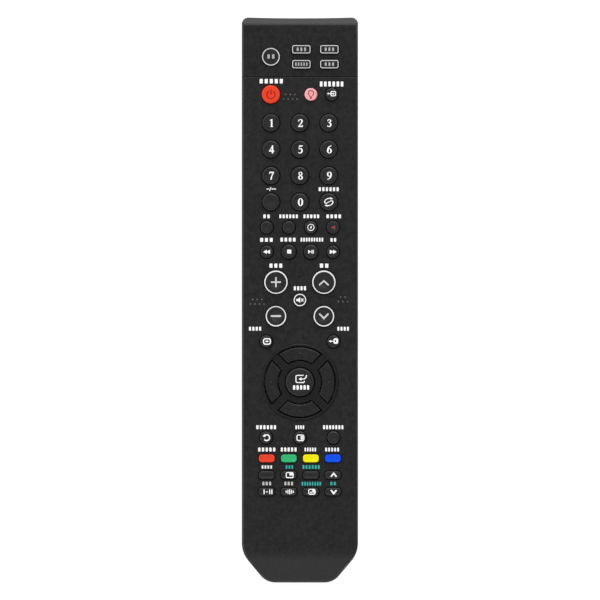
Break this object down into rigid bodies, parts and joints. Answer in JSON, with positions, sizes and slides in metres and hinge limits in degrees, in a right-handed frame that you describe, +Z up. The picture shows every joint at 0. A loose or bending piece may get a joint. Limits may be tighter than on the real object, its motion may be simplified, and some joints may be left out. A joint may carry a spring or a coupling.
{
  "type": "tv remote control",
  "caption": "Long slim television remote control with round number keys, volume and channel keys, a ringed direction pad, coloured keys and a hinged battery cover.",
  "frame": {"origin": "on the resting face, in the middle of the outline", "axes": "+Y along the remote towards its infrared end, +Z up out of the keys, +X across to the right as the keys are read"},
  "size_m": [0.0486, 0.2359, 0.023],
  "materials": {
    "case_plastic": "fine moulded grain",
    "window_plastic": "dark infrared-passing plastic, satin",
    "bezel_plastic": "fine moulded grain",
    "key_plastic": "satin",
    "power_red": "translucent red",
    "lamp_pink": "translucent pale pink",
    "key_red": "satin red",
    "key_green": "satin green",
    "key_yellow": "satin yellow",
    "key_blue": "satin blue",
    "sheet_rubber": "moulded silicone rubber",
    "board_laminate": "phenolic board with green mask",
    "chip_resin": "moulded epoxy",
    "component_shell": "sleeved component",
    "lamp_resin": "clear resin",
    "emitter_resin": "smoky clear resin",
    "contact_steel": "nickel-plated spring steel",
    "cell_jacket": "printed jacket, plain"
  },
  "bodies": {
    "housing": {"top_case": "case_plastic", "head_window": "window_plastic", "bottom_case": "case_plastic", "direction_bezel": "bezel_plastic", "contact_sheet": "sheet_rubber", "circuit_board": "board_laminate", "control_chip": "chip_resin", "board_components": "component_shell", "backlight_lamps": "lamp_resin", "infrared_emitters": "emitter_resin", "battery_terminals": "contact_steel", "series_contact": "contact_steel", "battery_cells": "cell_jacket"},
    "battery_cover": {"battery_cover": "case_plastic"},
    "antenna_key": {"antenna_key": "key_plastic"},
    "blue_key": {"blue_key": "key_blue"},
    "caption_key": {"caption_key": "key_plastic"},
    "channel_down_key": {"channel_down_key": "key_plastic"},
    "channel_up_key": {"channel_up_key": "key_plastic"},
    "device_keys": {"device_keys": "key_plastic"},
    "down_key": {"down_key": "key_plastic"},
    "enter_key": {"enter_key": "key_plastic"},
    "exit_key": {"exit_key": "key_plastic"},
    "forward_key": {"forward_key": "key_plastic"},
    "green_key": {"green_key": "key_green"},
    "info_key": {"info_key": "key_plastic"},
    "input_key": {"input_key": "key_plastic"},
    "key_0": {"key_0": "key_plastic"},
    "key_1": {"key_1": "key_plastic"},
    "key_2": {"key_2": "key_plastic"},
    "key_3": {"key_3": "key_plastic"},
    "key_4": {"key_4": "key_plastic"},
    "key_5": {"key_5": "key_plastic"},
    "key_6": {"key_6": "key_plastic"},
    "key_7": {"key_7": "key_plastic"},
    "key_8": {"key_8": "key_plastic"},
    "key_9": {"key_9": "key_plastic"},
    "key_dash": {"key_dash": "key_plastic"},
    "key_previous": {"key_previous": "key_plastic"},
    "lamp_key": {"lamp_key": "lamp_pink"},
    "left_key": {"left_key": "key_plastic"},
    "list_key": {"list_key": "key_plastic"},
    "menu_key": {"menu_key": "key_plastic"},
    "mute_key": {"mute_key": "key_plastic"},
    "picture_keys": {"picture_keys": "key_plastic"},
    "play_key": {"play_key": "key_plastic"},
    "power_key": {"power_key": "power_red"},
    "record_key": {"record_key": "key_plastic"},
    "red_key": {"red_key": "key_red"},
    "return_key": {"return_key": "key_plastic"},
    "rewind_key": {"rewind_key": "key_plastic"},
    "right_key": {"right_key": "key_plastic"},
    "sound_keys": {"sound_keys": "key_plastic"},
    "stop_key": {"stop_key": "key_plastic"},
    "timer_key": {"timer_key": "key_plastic"},
    "tv_key": {"tv_key": "key_plastic"},
    "up_key": {"up_key": "key_plastic"},
    "volume_down_key": {"volume_down_key": "key_plastic"},
    "volume_up_key": {"volume_up_key": "key_plastic"},
    "yellow_key": {"yellow_key": "key_yellow"}
  },
  "joints": [
    {"name": "battery_cover_hinge", "type": "hinge", "parent": "housing", "child": "battery_cover", "pos_m": [0, -0.0395, 0.00015], "axis": [1, 0, 0], "range_deg": [0, 70]},
    {"name": "antenna_key_press", "type": "slide", "parent": "housing", "child": "antenna_key", "axis": [0, 0, -1], "range_m": [0, 0.0009], "stiffness_N_per_m": 600},
    {"name": "blue_key_press", "type": "slide", "parent": "housing", "child": "blue_key", "axis": [0, 0, -1], "range_m": [0, 0.0009], "stiffness_N_per_m": 600},
    {"name": "caption_key_press", "type": "slide", "parent": "housing", "child": "caption_key", "axis": [0, 0, -1], "range_m": [0, 0.0009], "stiffness_N_per_m": 600},
    {"name": "channel_down_key_press", "type": "slide", "parent": "housing", "child": "channel_down_key", "axis": [0, 0, -1], "range_m": [0, 0.0009], "stiffness_N_per_m": 600},
    {"name": "channel_up_key_press", "type": "slide", "parent": "housing", "child": "channel_up_key", "axis": [0, 0, -1], "range_m": [0, 0.0009], "stiffness_N_per_m": 600},
    {"name": "device_keys_press", "type": "slide", "parent": "housing", "child": "device_keys", "axis": [0, 0, -1], "range_m": [0, 0.0009], "stiffness_N_per_m": 600},
    {"name": "down_key_press", "type": "slide", "parent": "housing", "child": "down_key", "axis": [0, 0, -1], "range_m": [0, 0.0009], "stiffness_N_per_m": 600},
    {"name": "enter_key_press", "type": "slide", "parent": "housing", "child": "enter_key", "axis": [0, 0, -1], "range_m": [0, 0.0009], "stiffness_N_per_m": 600},
    {"name": "exit_key_press", "type": "slide", "parent": "housing", "child": "exit_key", "axis": [0, 0, -1], "range_m": [0, 0.0009], "stiffness_N_per_m": 600},
    {"name": "forward_key_press", "type": "slide", "parent": "housing", "child": "forward_key", "axis": [0, 0, -1], "range_m": [0, 0.0009], "stiffness_N_per_m": 600},
    {"name": "green_key_press", "type": "slide", "parent": "housing", "child": "green_key", "axis": [0, 0, -1], "range_m": [0, 0.0009], "stiffness_N_per_m": 600},
    {"name": "info_key_press", "type": "slide", "parent": "housing", "child": "info_key", "axis": [0, 0, -1], "range_m": [0, 0.0009], "stiffness_N_per_m": 600},
    {"name": "input_key_press", "type": "slide", "parent": "housing", "child": "input_key", "axis": [0, 0, -1], "range_m": [0, 0.0009], "stiffness_N_per_m": 600},
    {"name": "key_0_press", "type": "slide", "parent": "housing", "child": "key_0", "axis": [0, 0, -1], "range_m": [0, 0.0009], "stiffness_N_per_m": 600},
    {"name": "key_1_press", "type": "slide", "parent": "housing", "child": "key_1", "axis": [0, 0, -1], "range_m": [0, 0.0009], "stiffness_N_per_m": 600},
    {"name": "key_2_press", "type": "slide", "parent": "housing", "child": "key_2", "axis": [0, 0, -1], "range_m": [0, 0.0009], "stiffness_N_per_m": 600},
    {"name": "key_3_press", "type": "slide", "parent": "housing", "child": "key_3", "axis": [0, 0, -1], "range_m": [0, 0.0009], "stiffness_N_per_m": 600},
    {"name": "key_4_press", "type": "slide", "parent": "housing", "child": "key_4", "axis": [0, 0, -1], "range_m": [0, 0.0009], "stiffness_N_per_m": 600},
    {"name": "key_5_press", "type": "slide", "parent": "housing", "child": "key_5", "axis": [0, 0, -1], "range_m": [0, 0.0009], "stiffness_N_per_m": 600},
    {"name": "key_6_press", "type": "slide", "parent": "housing", "child": "key_6", "axis": [0, 0, -1], "range_m": [0, 0.0009], "stiffness_N_per_m": 600},
    {"name": "key_7_press", "type": "slide", "parent": "housing", "child": "key_7", "axis": [0, 0, -1], "range_m": [0, 0.0009], "stiffness_N_per_m": 600},
    {"name": "key_8_press", "type": "slide", "parent": "housing", "child": "key_8", "axis": [0, 0, -1], "range_m": [0, 0.0009], "stiffness_N_per_m": 600},
    {"name": "key_9_press", "type": "slide", "parent": "housing", "child": "key_9", "axis": [0, 0, -1], "range_m": [0, 0.0009], "stiffness_N_per_m": 600},
    {"name": "key_dash_press", "type": "slide", "parent": "housing", "child": "key_dash", "axis": [0, 0, -1], "range_m": [0, 0.0009], "stiffness_N_per_m": 600},
    {"name": "key_previous_press", "type": "slide", "parent": "housing", "child": "key_previous", "axis": [0, 0, -1], "range_m": [0, 0.0009], "stiffness_N_per_m": 600},
    {"name": "lamp_key_press", "type": "slide", "parent": "housing", "child": "lamp_key", "axis": [0, 0, -1], "range_m": [0, 0.0009], "stiffness_N_per_m": 600},
    {"name": "left_key_press", "type": "slide", "parent": "housing", "child": "left_key", "axis": [0, 0, -1], "range_m": [0, 0.0009], "stiffness_N_per_m": 600},
    {"name": "list_key_press", "type": "slide", "parent": "housing", "child": "list_key", "axis": [0, 0, -1], "range_m": [0, 0.0009], "stiffness_N_per_m": 600},
    {"name": "menu_key_press", "type": "slide", "parent": "housing", "child": "menu_key", "axis": [0, 0, -1], "range_m": [0, 0.0009], "stiffness_N_per_m": 600},
    {"name": "mute_key_press", "type": "slide", "parent": "housing", "child": "mute_key", "axis": [0, 0, -1], "range_m": [0, 0.0009], "stiffness_N_per_m": 600},
    {"name": "picture_keys_press", "type": "slide", "parent": "housing", "child": "picture_keys", "axis": [0, 0, -1], "range_m": [0, 0.0009], "stiffness_N_per_m": 600},
    {"name": "play_key_press", "type": "slide", "parent": "housing", "child": "play_key", "axis": [0, 0, -1], "range_m": [0, 0.0009], "stiffness_N_per_m": 600},
    {"name": "power_key_press", "type": "slide", "parent": "housing", "child": "power_key", "axis": [0, 0, -1], "range_m": [0, 0.0009], "stiffness_N_per_m": 600},
    {"name": "record_key_press", "type": "slide", "parent": "housing", "child": "record_key", "axis": [0, 0, -1], "range_m": [0, 0.0009], "stiffness_N_per_m": 600},
    {"name": "red_key_press", "type": "slide", "parent": "housing", "child": "red_key", "axis": [0, 0, -1], "range_m": [0, 0.0009], "stiffness_N_per_m": 600},
    {"name": "return_key_press", "type": "slide", "parent": "housing", "child": "return_key", "axis": [0, 0, -1], "range_m": [0, 0.0009], "stiffness_N_per_m": 600},
    {"name": "rewind_key_press", "type": "slide", "parent": "housing", "child": "rewind_key", "axis": [0, 0, -1], "range_m": [0, 0.0009], "stiffness_N_per_m": 600},
    {"name": "right_key_press", "type": "slide", "parent": "housing", "child": "right_key", "axis": [0, 0, -1], "range_m": [0, 0.0009], "stiffness_N_per_m": 600},
    {"name": "sound_keys_press", "type": "slide", "parent": "housing", "child": "sound_keys", "axis": [0, 0, -1], "range_m": [0, 0.0009], "stiffness_N_per_m": 600},
    {"name": "stop_key_press", "type": "slide", "parent": "housing", "child": "stop_key", "axis": [0, 0, -1], "range_m": [0, 0.0009], "stiffness_N_per_m": 600},
    {"name": "timer_key_press", "type": "slide", "parent": "housing", "child": "timer_key", "axis": [0, 0, -1], "range_m": [0, 0.0009], "stiffness_N_per_m": 600},
    {"name": "tv_key_press", "type": "slide", "parent": "housing", "child": "tv_key", "axis": [0, 0, -1], "range_m": [0, 0.0009], "stiffness_N_per_m": 600},
    {"name": "up_key_press", "type": "slide", "parent": "housing", "child": "up_key", "axis": [0, 0, -1], "range_m": [0, 0.0009], "stiffness_N_per_m": 600},
    {"name": "volume_down_key_press", "type": "slide", "parent": "housing", "child": "volume_down_key", "axis": [0, 0, -1], "range_m": [0, 0.0009], "stiffness_N_per_m": 600},
    {"name": "volume_up_key_press", "type": "slide", "parent": "housing", "child": "volume_up_key", "axis": [0, 0, -1], "range_m": [0, 0.0009], "stiffness_N_per_m": 600},
    {"name": "yellow_key_press", "type": "slide", "parent": "housing", "child": "yellow_key", "axis": [0, 0, -1], "range_m": [0, 0.0009], "stiffness_N_per_m": 600}
  ]
}
